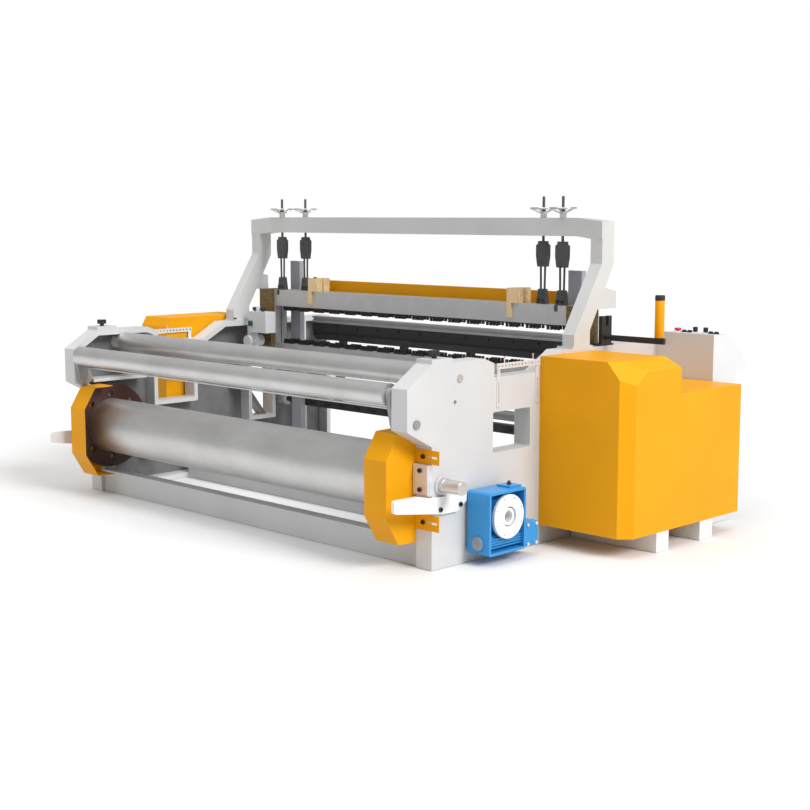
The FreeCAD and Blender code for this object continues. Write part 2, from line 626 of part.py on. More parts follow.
# ---- star knobs, pin bars --------------------------------------------------
KNOB_X = FRAME_OUT - FRAME_WIDTH / 2


def star_knob():
    """Lobed clamping knob with its stud."""
    base = PAD_TOP + RUN
    z0 = base + KNOB_STEM
    body = rod_z(KNOB_X, KNOB_Y, 0.78 * KNOB_R, z0, z0 + KNOB_THICK)
    lobes = []
    for k in range(KNOB_LOBES):
        turn = 2 * math.pi * k / KNOB_LOBES
        lobes.append(rod_z(KNOB_X + 0.7 * KNOB_R * math.cos(turn), KNOB_Y + 0.7 * KNOB_R * math.sin(turn),
                           0.3 * KNOB_R, z0, z0 + KNOB_THICK))
    stem = rod_z(KNOB_X, KNOB_Y, 0.45 * KNOB_R, base, z0 + 1)
    stud = rod_z(KNOB_X, KNOB_Y, KNOB_STUD_R, FRAME_TOP - RIM, base + 1)
    return join(body, *lobes, stem, stud)


def hole_bar():
    """Drilled bar on two slotted strips, outside the dip in the frame."""
    strips = []
    for y in (BAR_Y[0] + 6, BAR_Y[1] - 6 - STRIP_WIDTH):
        strip = box((FRAME_OUT, FRAME_OUT + BAR_THICK), (y, y + STRIP_WIDTH), (STRIP_FOOT, BAR_Z[1]))
        slot = box((FRAME_OUT - 1, FRAME_OUT + BAR_THICK + 1), (y + 8, y + STRIP_WIDTH - 8),
                   (STRIP_FOOT + 20, VALLEY_Z - 25))
        strips.append(strip.cut(slot))
    bar = box((FRAME_OUT + BAR_THICK - 1, FRAME_OUT + 2 * BAR_THICK), BAR_Y, BAR_Z)
    step = (BAR_Y[1] - BAR_Y[0]) / BAR_HOLES
    holes = [rod_x(BAR_Y[0] + (k + 0.5) * step, sum(BAR_Z) / 2, 6, FRAME_OUT - 1, FRAME_OUT + 20)
             for k in range(BAR_HOLES)]
    return join(bar, *strips).cut(holes)


def bar_pins():
    """Upright guide pins on the drilled bars."""
    x = FRAME_OUT + 1.5 * BAR_THICK
    spots = ((x, BAR_Y[0] + 60), (x, BAR_Y[1] - 60), (-x, BAR_Y[0] + 150))
    return group([rod_z(px, py, BAR_THICK / 2, BAR_Z[1], BAR_Z[1] + PIN_HEIGHT) for px, py in spots])


# ---- gantry ----------------------------------------------------------------
def gantry_leg():
    leg = prism_x(LEG_SHAPE, FRAME_OUT - LEG_WIDTH, FRAME_OUT)
    foot = box((FRAME_IN, FRAME_OUT), LEG_FOOT, (FRAME_TOP, FRAME_TOP + LEG_FOOT_THICK))
    brace = prism_x(BRACE_SHAPE, FRAME_OUT - BRACE_THICK, FRAME_OUT)
    return join(leg, foot, brace)


def gantry_beam():
    """Cross beam whose ends widen and drop on to the legs."""
    end = FRAME_OUT
    mid = GANTRY_MID
    front = [(-end, GANTRY_END_LOW), (-end + LEG_WIDTH, GANTRY_END_LOW), (-mid, GANTRY_LOW),
             (mid, GANTRY_LOW), (end - LEG_WIDTH, GANTRY_END_LOW), (end, GANTRY_END_LOW),
             (end, GANTRY_END_HIGH), (mid, GANTRY_HIGH), (-mid, GANTRY_HIGH), (-end, GANTRY_END_HIGH)]
    plan = [(-end, GANTRY_END_Y[0]), (-mid, GANTRY_Y[0]), (mid, GANTRY_Y[0]), (end, GANTRY_END_Y[0]),
            (end, GANTRY_END_Y[1]), (mid, GANTRY_Y[1]), (-mid, GANTRY_Y[1]), (-end, GANTRY_END_Y[1])]
    beam = prism_y(front, GANTRY_END_Y[0] - 5, GANTRY_Y[1] + 5).common(
        prism_z(plan, GANTRY_END_LOW - 5, GANTRY_HIGH + 5))
    bores = [rod_z(x, y, SPINDLE_R + RUN, GANTRY_LOW - 20, GANTRY_HIGH + 5) for x, y in lift_places()]
    return beam.cut(bores)


# ---- lifters ---------------------------------------------------------------
HEALD_Y = (HEALD_FRONT_Y, HEALD_FRONT_Y + HEALD_THICK + HEALD_GAP)


def lift_places():
    """(X, Y) of the four lifters: outer pair over the front frame, inner pair over the rear."""
    outer, inner = LIFT_X
    return [(-outer, HEALD_Y[0]), (-inner, HEALD_Y[1]), (inner, HEALD_Y[1]), (outer, HEALD_Y[0])]


def handwheel(x, y):
    hub = rod_z(x, y, WHEEL_HUB_R, GANTRY_HIGH + RUN, WHEEL_HUB_TOP)
    hub = hub.cut(rod_z(x, y, SPINDLE_R + RUN, GANTRY_HIGH, WHEEL_HUB_TOP + 1))
    rim = Part.makeTorus(WHEEL_R - WHEEL_RIM_R, WHEEL_RIM_R, V(x, y, WHEEL_RIM_Z), V(0, 0, 1))
    spokes = []
    for k in range(WHEEL_SPOKES):
        turn = 2 * math.pi * k / WHEEL_SPOKES
        inner_r = WHEEL_HUB_R - 3
        run = WHEEL_R - WHEEL_RIM_R - inner_r
        rise = WHEEL_RIM_Z - WHEEL_HUB_TOP + 8
        start = V(x + inner_r * math.cos(turn), y + inner_r * math.sin(turn), WHEEL_HUB_TOP - 8)
        along = V(run * math.cos(turn), run * math.sin(turn), rise)
        spokes.append(Part.makeCylinder(5, along.Length, start, along))
    return join(hub, rim, *spokes)


def lifter(x, y):
    """Threaded spindle that carries the spring housing of one strap pair."""
    spindle = rod_z(x, y, SPINDLE_R, LIFT_CAP_Z[0], SPINDLE_TOP)
    cap = box((x - LIFT_CAP_HALF, x + LIFT_CAP_HALF), (y - 16, y + 16), LIFT_CAP_Z)
    outline = [(x - LIFT_BOTTOM_HALF, LIFT_BOTTOM_Z), (x - LIFT_HALF, LIFT_WAIST_Z),
               (x - LIFT_HALF, LIFT_CAP_Z[0] - 8), (x - LIFT_CAP_HALF, LIFT_CAP_Z[0] + 1),
               (x + LIFT_CAP_HALF, LIFT_CAP_Z[0] + 1), (x + LIFT_HALF, LIFT_CAP_Z[0] - 8),
               (x + LIFT_HALF, LIFT_WAIST_Z), (x + LIFT_BOTTOM_HALF, LIFT_BOTTOM_Z)]
    body = prism_y(outline, y - LIFT_DEPTH / 2, y + LIFT_DEPTH / 2)
    half = STRAP_TOP_HALF + STRAP_WIDTH / 2 + 2
    hollow = box((x - half, x + half), (y - STRAP_THICK / 2 - 2, y + STRAP_THICK / 2 + 2),
                 (LIFT_BOTTOM_Z - 1, LIFT_CAP_Z[0] - 10))
    notch = prism_y([(x - 9, LIFT_BOTTOM_Z - 1), (x, LIFT_BOTTOM_Z + 14), (x + 9, LIFT_BOTTOM_Z - 1)],
                    y - LIFT_DEPTH, y + LIFT_DEPTH)
    return join(body.cut([hollow, notch]), cap, spindle)


def strap_set(x, y):
    """Two straps from the spring housing to a clamp on the heald frame."""
    shapes = []
    for side in (-1, 1):
        top = x + side * STRAP_TOP_HALF
        foot = x + side * STRAP_FOOT_HALF
        w = STRAP_WIDTH / 2
        shapes.append(prism_y([(foot - w, CLAMP_TOP), (foot + w, CLAMP_TOP),
                               (top + w, LIFT_BOTTOM_Z + STRAP_IN), (top - w, LIFT_BOTTOM_Z + STRAP_IN)],
                              y - STRAP_THICK / 2, y + STRAP_THICK / 2))
    clamp = prism_y([(x - CLAMP_FOOT_HALF, RAIL_Z[1]), (x - CLAMP_TOP_HALF, CLAMP_TOP),
                     (x + CLAMP_TOP_HALF, CLAMP_TOP), (x + CLAMP_FOOT_HALF, RAIL_Z[1])],
                    y - CLAMP_DEPTH / 2, y + CLAMP_DEPTH / 2)
    holes = [rod_y(x + dx, RAIL_Z[1] + dz, 4, y - CLAMP_DEPTH, y + CLAMP_DEPTH)
             for dx in (-12, 12) for dz in (22, 62)]
    return shapes + [clamp.cut(holes)]


def lifter_straps(frame_index):
    solids = []
    for x, y in lift_places():
        if y == HEALD_Y[frame_index]:
            solids += strap_set(x, y)
            if frame_index == 0:
                solids.append(box((x - CLAMP_FOOT_HALF, x - CLAMP_FOOT_HALF + HOOK_WIDTH),
                                  (y - HEALD_THICK / 2 - 4, y - HEALD_THICK / 2), (HOOK_FOOT, RAIL_Z[1])))
    return group(solids)


# ---- heald frames ----------------------------------------------------------
def heald_frame(y):
    """Open harness: top rail, bottom rail and two end stays with guide tongues."""
    span = (y - HEALD_THICK / 2, y + HEALD_THICK / 2)
    body = box((-HEALD_END, HEALD_END), span, (LOW_RAIL_Z[0], RAIL_Z[1]))
    opening = box((-HEALD_END + STAY_WIDTH, HEALD_END - STAY_WIDTH), (span[0] - 1, span[1] + 1),
                  (LOW_RAIL_Z[1], RAIL_Z[0]))
    tongues = [box((side * HEALD_END - TONGUE, side * HEALD_END + TONGUE),
                   (y - TONGUE_THICK / 2, y + TONGUE_THICK / 2), (LOW_RAIL_Z[0] + 60, RAIL_Z[1] - 60))
               for side in (-1, 1)]
    return join(body.cut(opening), *tongues)


def rod_hook(x, y, z, up):
    """Toothed hook bar on a heald frame rail; up = 1 stands on the rail, -1 hangs from it."""
    def tall(a, b):
        return (z + min(up * a, up * b), z + max(up * a, up * b))
    width = (y - CLIP_THICK / 2, y + CLIP_THICK / 2)
    bar = box((x - CLIP_LENGTH / 2, x + CLIP_LENGTH / 2), width, tall(0, CLIP_BAR))
    step = CLIP_LENGTH / CLIP_TEETH
    teeth = []
    for k in range(CLIP_TEETH):
        middle = x - CLIP_LENGTH / 2 + (k + 0.5) * step
        teeth.append(box((middle - TOOTH / 2, middle + TOOTH / 2), width, tall(CLIP_BAR - 1, CLIP_REACH)))
    return join(bar, *teeth)


def rod_hooks(y):
    middle = (CLIPS - 1) / 2
    places = [(k - middle) * CLIP_PITCH for k in range(CLIPS)]
    return group([rod_hook(x, y, RAIL_Z[0], -1) for x in places]
                 + [rod_hook(x, y, LOW_RAIL_Z[1], 1) for x in places])


def wood_guides(frame_index):
    """Grooved wooden rubbing blocks that keep the two heald frames apart."""
    y = HEALD_Y[frame_index]
    out = -1 if frame_index == 0 else 1
    y_near, y_far = sorted((y - out * HEALD_THICK / 2, y + out * (HEALD_THICK / 2 + WOOD_LEG_THICK)))
    x0, x1 = WOOD_X - WOOD_WIDTH / 2, WOOD_X + WOOD_WIDTH / 2
    top = box((x0, x1), (y_near, y_far), (RAIL_Z[1], WOOD_TOP))
    grooves = []
    for k in range(WOOD_GROOVES):
        gy = y_near + (k + 0.5) * (y_far - y_near) / WOOD_GROOVES
        grooves += [box((gx - 3, gx + 3), (gy - 4, gy + 4), (RAIL_Z[1] - 1, WOOD_TOP + 1)) for gx in (x0, x1)]
    leg_y = sorted((y + out * HEALD_THICK / 2, y + out * (HEALD_THICK / 2 + WOOD_LEG_THICK)))
    blocks = []
    for side in (-1, 1):
        shift = V((side - 1) * WOOD_X, 0, 0)
        leg = box((x0, x0 + WOOD_LEG), leg_y, (WOOD_LEG_FOOT, RAIL_Z[1] + 1))
        blocks.append(join(top.cut(grooves), leg).translated(shift))
    return group(blocks)


def guide_column():
    """Vertical guide for the ends of both heald frames."""
    body = box((HEALD_END + 2, FRAME_IN), COLUMN_Y, COLUMN_Z)
    slots = [box((HEALD_END, HEALD_END + TONGUE + 4),
                 (y - TONGUE_THICK / 2 - RUN, y + TONGUE_THICK / 2 + RUN), (COLUMN_Z[0] - 1, COLUMN_Z[1] + 1))
             for y in HEALD_Y]
    return body.cut(slots)


def rear_post():
    """Upright channel behind the heald frames, on a foot plate on its floor beam."""
    seat = BEAM_HEIGHT + POST_FOOT_THICK
    spread = (BEAM_DEPTH - POST_Y[1] + POST_Y[0]) / 2
    body = box(POST_X, POST_Y, (seat, POST_TOP))
    wall = 8.0
    body = body.cut(box((POST_X[0] + wall, POST_X[1] - wall), (POST_Y[0] + wall, POST_Y[1] + 1),
                        (seat + 18, POST_TOP + 1)))
    foot = box((POST_X[0] - 30, POST_X[1] + 30), (POST_Y[0] - spread, POST_Y[1] + spread),
               (BEAM_HEIGHT, seat))
    tab = box((GUARD_BAR_END - 60, POST_X[0] + 4), (POST_Y[1] - 6, POST_Y[1]),
              (GUARD_BAR_Z[0] + 10, GUARD_BAR_Z[1] - 10))
    return join(body, foot, tab)


def guard_bar():
    outer = box((-GUARD_BAR_END, GUARD_BAR_END), (POST_Y[1], POST_Y[1] + GUARD_BAR_DEPTH), GUARD_BAR_Z)
    inner = box((-GUARD_BAR_END + SHEET, GUARD_BAR_END - SHEET),
                (POST_Y[1] + SHEET, POST_Y[1] + GUARD_BAR_DEPTH - SHEET),
                (GUARD_BAR_Z[0] + SHEET, GUARD_BAR_Z[1] - SHEET))
    return outer.cut(inner)


# ---- sley and take-up ------------------------------------------------------
def rocker_shaft():
    bar = box((-ROCKER_END, ROCKER_END), (ROCKER_Y - ROCKER_HALF, ROCKER_Y + ROCKER_HALF),
              (ROCKER_Z - ROCKER_HALF, ROCKER_Z + ROCKER_HALF))
    return join(bar, rod_x(*ROCKER_AT, JOURNAL_R, -FRAME_OUT, FRAME_OUT))


def sley_beam():
    """Sley beam on four swords that stand on the rocker shaft."""
    y0 = ROCKER_Y
    beam = prism_x([(y0 + 30, SLEY_Z[0]), (y0, SLEY_Z[0] + 44), (y0, SLEY_Z[1]),
                    (y0 + SLEY_DEPTH, SLEY_Z[1]), (y0 + SLEY_DEPTH, SLEY_Z[0])], -SLEY_END, SLEY_END)
    beam = beam.cut(box((-SLEY_END - 1, SLEY_END + 1), (y0 - 1, y0 + 7), (SLEY_Z[0] + 44, SLEY_Z[0] + 60)))
    swords = [prism_x([(y0 - 25, ROCKER_Z + ROCKER_HALF), (y0 + 32, SLEY_Z[0] + 2),
                       (y0 + SLEY_DEPTH - 8, SLEY_Z[0] + 2), (y0 + 35, ROCKER_Z + ROCKER_HALF)],
                      x - SWORD_WIDTH / 2, x + SWORD_WIDTH / 2) for x in SWORD_X]
    return join(beam, *swords)


def reed_holder():
    """Light alloy reed rail along the top of the sley, with its clamping groove."""
    y0 = ROCKER_Y
    rail = box((-SLEY_END, SLEY_END), (y0, y0 + 50), (SLEY_Z[1], REED_TOP))
    front = box((-SLEY_END - 1, SLEY_END + 1), (y0 - 1, y0 + 12), (SLEY_Z[1] + REED_RAIL, REED_TOP - 13))
    slot = box((-SLEY_END - 1, SLEY_END + 1), (y0 + 22, y0 + 32), (SLEY_Z[1] + REED_RAIL, REED_TOP + 1))
    return rail.cut([front, slot])


def takeup_roller():
    body = rod_x(*TAKEUP_AT, TAKEUP_R, -FRAME_IN + 8, FRAME_IN - 8)
    return join(body, rod_x(*TAKEUP_AT, JOURNAL_R, -FRAME_OUT, FRAME_OUT))


# ---- covers and drive ------------------------------------------------------
def cut_corner(shape, p1, p2, p3, outside):
    """Take off everything beyond the plane through three points, on the side of outside."""
    normal = (p2 - p1).cross(p3 - p1).normalize()
    if (outside - p1).dot(normal) < 0:
        normal = normal * -1
    size = 3000
    slab = Part.makeBox(size, size, size, V(-size / 2, -size / 2, 0))
    slab.Placement = FreeCAD.Placement(p1, FreeCAD.Rotation(V(0, 0, 1), normal)).multiply(slab.Placement)
    return shape.cut(slab)


def right_cover_solid():
    """Outer shape of the drive cover, with its cut corners."""
    y0, y1, y2 = COVER_Y
    tall = box((FRAME_OUT, COVER_END), (y0, y1), (COVER_FOOT, COVER_TOP))
    low = box((FRAME_OUT, COVER_END), (y1 - 1, y2), (COVER_FOOT, COVER_LOW_TOP))
    end, top = COVER_END, COVER_TOP
    far = V(end + 500, y0 - 500, top + 500)
    tall = cut_corner(tall, V(end - 60, y0, 0), V(end, y0 + 65, 0), V(end, y0 + 65, 900), far)
    tall = cut_corner(tall, V(0, y0, top - 91), V(100, y0, top - 91), V(0, y0 + 161, top), far)
    tall = cut_corner(tall, V(end, 0, top - 54), V(end, 100, top - 54), V(end - 107, 0, top), far)
    tall = cut_corner(tall, V(end - 60, y0, top - 91), V(end, y0 + 60, top - 122),
                      V(end, y0 + 167, top - 54), far)
    return join(tall, low)


def drive_cover_right():
    outer = right_cover_solid()
    inner = outer.makeOffsetShape(-SHEET, 0.01, False, False, 0, 2)
    bore = rod_x(*CRANK_AT, CRANK_R + 1, FRAME_OUT - 1, FRAME_OUT + SHEET + 1)
    return outer.cut(inner).cut(bore)


def drive_cover_left():
    outer = flip(prism_x(LEFT_COVER_SHAPE, FRAME_OUT + LEFT_COVER_OFF, LEFT_COVER_END))
    inner = outer.makeOffsetShape(-SHEET, 0.01, False, False, 0, 2)
    bore = rod_x(*CRANK_AT, CRANK_R + 1, -FRAME_OUT - LEFT_COVER_OFF - SHEET - 1, -FRAME_OUT)
    return outer.cut(inner).cut(bore)


def cover_feet():
    """Blocks under both drive covers."""
    feet = [box((FRAME_OUT + 8, COVER_END - 4), span, (0, COVER_FOOT)) for span in FEET_Y]
    left = [(LEFT_COVER_SHAPE[0][0] + 60, LEFT_COVER_SHAPE[0][0] + 172),
            (LEFT_COVER_SHAPE[-1][0] - 172, LEFT_COVER_SHAPE[-1][0] - 60)]
    feet += [box((-LEFT_COVER_END + 4, -FRAME_OUT), span, (0, COVER_FOOT)) for span in left]
    return group(feet)


def main_motor():
    """Motor on the floor pan of the drive cover, with its end bell and terminal box."""
    x0 = FRAME_OUT + 160
    y, z = 1600.0, COVER_FOOT + SHEET + 170
    body = rod_x(y, z, 130, x0, x0 + 300)
    foot = box((x0 + 30, x0 + 270), (y - 140, y + 140), (COVER_FOOT + SHEET, COVER_FOOT + SHEET + 60))
    plate = box((x0 + 60, x0 + 240), (y - 90, y + 90), (COVER_FOOT + SHEET + 50, z))
    terminal = box((x0 + 100, x0 + 200), (y - 60, y + 60), (z + 100, z + 180))
    return join(body, foot, plate, terminal)


def flywheel():
    """Drive wheel on the crank shaft that crosses the loom inside the covers."""
    x0 = FRAME_OUT + 60
    rim = rod_x(*CRANK_AT, FLYWHEEL_R, x0, x0 + 90)
    rim = rim.cut([rod_x(*CRANK_AT, FLYWHEEL_R - 35, x0 - 1, x0 + 30),
                   rod_x(*CRANK_AT, FLYWHEEL_R - 35, x0 + 60, x0 + 91)])
    shaft = rod_x(*CRANK_AT, CRANK_R, -FRAME_OUT - 60, x0 + 110)
    return join(rim, shaft)


# ---- cabinet and controls --------------------------------------------------
PANEL_Z = CABINET_SHAPE[1][1]
STEM_R = 8.0
STEM_DEPTH = 40.0


def control_cabinet():
    body = prism_x(CABINET_SHAPE, *CABINET_X)
    hollow = body.makeOffsetShape(-SHEET, 0.01, False, False, 0, 2)
    holes = [rod_z(x, BUTTON_Y, STEM_R + RUN, PANEL_Z - 60, PANEL_Z + 5) for x in (MUSHROOM_X,) + PUSH_X]
    return body.cut(hollow).cut(holes)


def push_button(x, radius, height, travel):
    """Button head over its stem; the head stands clear of its collar by the travel."""
    base = PANEL_Z + travel + 1
    head = rod_z(x, BUTTON_Y, radius, base, base + height)
    stem = rod_z(x, BUTTON_Y, STEM_R, base - STEM_DEPTH, base + 1)
    return join(head, stem)


def emergency_button():
    head = push_button(MUSHROOM_X, 20, 14, 6)
    return head.makeFillet(5, [head.Edges[0]])


def start_handle():
    """Starting bar with its upright yellow grip, on a pivot lug at the gantry side."""
    bar = box(HANDLE_X, (HANDLE_Y - 10, HANDLE_Y + 10), (HANDLE_Z - 16, HANDLE_Z + 16))
    grip = rod_z(GRIP_X, HANDLE_Y, GRIP_R, HANDLE_Z + 12, GRIP_TOP)
    pivot = rod_x(HANDLE_Y, HANDLE_Z, 10, FRAME_OUT - 40, HANDLE_X[0] + 5)
    return join(bar, grip, pivot)


def fork_bracket():
    """Forked plate on the frame top that carries the pivot of the starting bar."""
    x0, x1 = FRAME_OUT - 30, FRAME_OUT - 6
    y0, y1 = FORK_Y
    notch_y = (y0 + y1) / 2
    body = box((x0, x1), (y0, y1), (FRAME_TOP, FORK_TOP))
    notch = box((x0 - 1, x1 + 1), (notch_y - 12, notch_y + 14), (FORK_TOP - 55, FORK_TOP + 1))
    foot = box((x0 - 30, x1), (y0 - 20, y1 + 20), (FRAME_TOP, FRAME_TOP + 10))
    return join(body.cut(notch), foot).cut(rod_x(HANDLE_Y, HANDLE_Z, 10 + RUN, x0 - 1, x1 + 1))


def selvedge_unit():
    """Edge-twisting unit bolted to the rim of the left frame: housing, two spool cups and a knob."""
    wall = -FRAME_IN
    x0, x1 = UNIT_X
    body = box((x0, x1), UNIT_Y, UNIT_Z)
    bracket = box((wall, x0 + 1), (UNIT_Y[0] + 15, UNIT_Y[1] - 15), (FRAME_TOP - RIM + 3, FRAME_TOP - 4))
    hanger = box((wall + 4, x0 + 60), (UNIT_Y[0] + 26, UNIT_Y[0] + 36), (CUP_Z - CUP_R, FRAME_TOP - 4))
    cup_y = UNIT_Y[0] + 31
    cups = [rod_y(wall + 6 + CUP_R, CUP_Z, CUP_R, cup_y - 45, cup_y),
            rod_y(wall + 50 + CUP_R, CUP_Z + 6, CUP_R, cup_y, cup_y + 45)]
    knob = rod_z((x0 + x1) / 2 - 40, (UNIT_Y[0] + UNIT_Y[1]) / 2, 16, UNIT_Z[1] - 1, UNIT_Z[1] + 32)
    return join(body, bracket, hanger, *cups, knob)


# ---- all nodes -------------------------------------------------------------
def nodes():
    right_frame = side_frame()
    guard = beam_guard()
    shapes = {
        "side_frame_right": right_frame,
        "side_frame_left": flip(right_frame),
        "cross_beams": cross_beams(),
        "gantry_legs": pair(gantry_leg()),
        "gantry_beam": gantry_beam(),
        "beam_barrel": beam_barrel(),
        "beam_flanges": beam_flanges(),
        "beam_gear": beam_gear(),
        "letoff_pinion": letoff_pinion(),
        "bearing_caps": pair(bearing_cap()),
        "beam_guard_right": guard,
        "beam_guard_left": flip(guard),
        "black_bolts": black_bolts(),
        "loading_arms": pair(loading_arm()),
        "gearbox_housing": gearbox_housing(),
        "gearbox_flange": gearbox_flange(),
        "gearbox_hollow_shaft": gearbox_hollow_shaft(),
        "back_rest_roller": back_rest_roller(),
        "tension_roller": tension_roller(),
        "tension_arms": pair(tension_arm()),
        "warp_guide_bar": warp_guide_bar(),
        "star_knob_right": star_knob(),
        "star_knob_left": flip(star_knob()),
        "hole_bars": pair(hole_bar()),
        "bar_pins": bar_pins(),
        "guide_columns": pair(guide_column()),
        "rear_posts": pair(rear_post()),
        "guard_bar": guard_bar(),
        "sley_beam": sley_beam(),
        "reed_holder": reed_holder(),
        "rocker_shaft": rocker_shaft(),
        "takeup_roller": takeup_roller(),
        "drive_cover_right": drive_cover_right(),
        "drive_cover_left": drive_cover_left(),
        "cover_feet": cover_feet(),
        "main_motor": main_motor(),
        "flywheel": flywheel(),
        "control_cabinet": control_cabinet(),
        "emergency_button": emergency_button(),
        "push_button_1": push_button(PUSH_X[0], 14, 26, 5),
        "push_button_2": push_button(PUSH_X[1], 14, 26, 5),
        "start_handle": start_handle(),
        "fork_bracket": fork_bracket(),
        "selvedge_unit": selvedge_unit(),
    }
    for number, (x, y) in enumerate(lift_places(), 1):
        shapes["handwheel_%d" % number] = handwheel(x, y)
        shapes["lifter_%d" % number] = lifter(x, y)
    for index, name in enumerate(("front", "rear")):
        shapes["heald_frame_" + name] = heald_frame(HEALD_Y[index])
        shapes["rod_hooks_" + name] = rod_hooks(HEALD_Y[index])
        shapes["lifter_straps_" + name] = lifter_straps(index)
        shapes["wood_guides_" + name] = wood_guides(index)
    return shapes


os.makedirs("parts", exist_ok=True)
SHAPES = nodes()
BOUNDS = group(SHAPES.values()).BoundBox
ORIGIN = V((BOUNDS.XMin + BOUNDS.XMax) / 2, (BOUNDS.YMin + BOUNDS.YMax) / 2, BOUNDS.ZMin)
for node_name, node_shape in SHAPES.items():
    node_shape.translated(ORIGIN * -1).exportStep("parts/" + node_name + ".step")
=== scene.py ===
"""Looks of the power loom: materials for every CAD node, small fitted details,
a pale studio and the camera. Metres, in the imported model's frame."""
import bpy
import bmesh
import json
import math
from mathutils import Euler, Matrix, Vector


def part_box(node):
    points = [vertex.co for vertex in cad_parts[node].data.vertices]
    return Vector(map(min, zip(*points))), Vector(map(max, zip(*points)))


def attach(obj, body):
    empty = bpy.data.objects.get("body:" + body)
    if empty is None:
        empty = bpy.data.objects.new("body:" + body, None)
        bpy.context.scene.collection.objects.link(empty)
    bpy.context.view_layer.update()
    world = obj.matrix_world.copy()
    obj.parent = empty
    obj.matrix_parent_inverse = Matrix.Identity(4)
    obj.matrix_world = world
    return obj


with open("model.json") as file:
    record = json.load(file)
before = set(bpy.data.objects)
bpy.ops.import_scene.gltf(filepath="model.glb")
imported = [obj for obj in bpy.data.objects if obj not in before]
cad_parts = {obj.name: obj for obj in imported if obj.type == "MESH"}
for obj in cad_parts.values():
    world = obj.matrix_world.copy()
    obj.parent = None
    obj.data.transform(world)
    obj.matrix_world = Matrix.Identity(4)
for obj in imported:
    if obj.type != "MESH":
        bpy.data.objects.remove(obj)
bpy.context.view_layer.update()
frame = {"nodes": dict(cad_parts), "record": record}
NODES = frame["nodes"]
BODIES = frame["record"]["behaviour"]["bodies"]
BODY = {node: body for body, nodes in BODIES.items() for node in nodes}

# ---- reference places, all read from the frame -----------------------------
MID_X = (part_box("side_frame_left")[0].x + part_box("side_frame_right")[1].x) / 2
POST_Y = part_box("bearing_caps")[1].y     # face of the frame posts
FLANGE_TO_SKIN = 0.134                   # beam flange to the outer face of the frame
FRAME_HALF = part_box("beam_flanges")[1].x - MID_X + FLANGE_TO_SKIN
OPEN_FRAMES = ("side_frame_left", "side_frame_right")
SKIN_INSIDE = 0.0185                     # the painted shade inside starts just under the skin
RIM_INSIDE = 0.1085                      # and ends just short of the open rim
EYE = Vector((MID_X + 6.3411, POST_Y - 5.0249, 1.780))
EYE_YAW = 44.8                           # degrees
EYE_DOWN = 7.66
LENS = 62.8                              # mm on a sensor 36 mm wide


# ---- node building ---------------------------------------------------------
class Graph:
    """A material's node tree with short calls for the nodes used here."""

    def __init__(self, name):
        self.material = bpy.data.materials.new(name)
        self.material.use_nodes = True
        self.tree = self.material.node_tree
        self.shader = self.tree.nodes["Principled BSDF"]
        self.place = self.add("ShaderNodeTexCoord").outputs["Object"]

    def add(self, kind, **inputs):
        node = self.tree.nodes.new(kind)
        for key, value in inputs.items():
            self.put(node.inputs[key.replace("_", " ")], value)
        return node

    def put(self, socket, value):
        if isinstance(value, bpy.types.NodeSocket):
            self.tree.links.new(value, socket)
        else:
            socket.default_value = value

    def noise(self, scale, stretch=(1, 1, 1), detail=4.0):
        mapping = self.add("ShaderNodeMapping", Vector=self.place, Scale=stretch)
        node = self.add("ShaderNodeTexNoise", Vector=mapping.outputs[0], Scale=scale,
                        Detail=detail, Roughness=0.55)
        return node.outputs[0]

    def ramp(self, value, *stops):
        """Map 0..1 through (position, grey or colour) stops."""
        node = self.add("ShaderNodeValToRGB", Fac=value)
        points = node.color_ramp.elements
        while len(points) < len(stops):
            points.new(0.5)
        for point, (position, colour) in zip(points, stops):
            point.position = position
            grey = isinstance(colour, (int, float))
            point.color = ((colour,) * 3 if grey else tuple(colour)) + (1,)
        return node.outputs[0]

    def mix(self, factor, a, b):
        node = self.tree.nodes.new("ShaderNodeMix")
        node.data_type = "RGBA"
        for socket, value in ((node.inputs[0], factor), (node.inputs[6], a), (node.inputs[7], b)):
            if isinstance(value, (tuple, list)) and len(value) == 3:
                value = tuple(value) + (1,)
            self.put(socket, value)
        return node.outputs[2]

    def math(self, operation, a, b=0.0):
        node = self.tree.nodes.new("ShaderNodeMath")
        node.operation = operation
        self.put(node.inputs[0], a)
        self.put(node.inputs[1], b)
        return node.outputs[0]

    def axis(self, name):
        return self.add("ShaderNodeSeparateXYZ", Vector=self.place).outputs[name]

    def bump(self, height, depth):
        node = self.add("ShaderNodeBump", Height=height, Strength=1.0, Distance=depth)
        self.put(self.shader.inputs["Normal"], node.outputs[0])

    def finish(self, colour=None, roughness=None, **constants):
        if colour is not None:
            self.put(self.shader.inputs["Base Color"], colour)
        if roughness is not None:
            self.put(self.shader.inputs["Roughness"], roughness)
        for key, value in constants.items():
            self.shader.inputs[key.replace("_", " ")].default_value = value
        return self.material


def shade(colour, factor):
    """Colour made lighter or darker."""
    return tuple(min(1.0, c * factor) for c in colour)


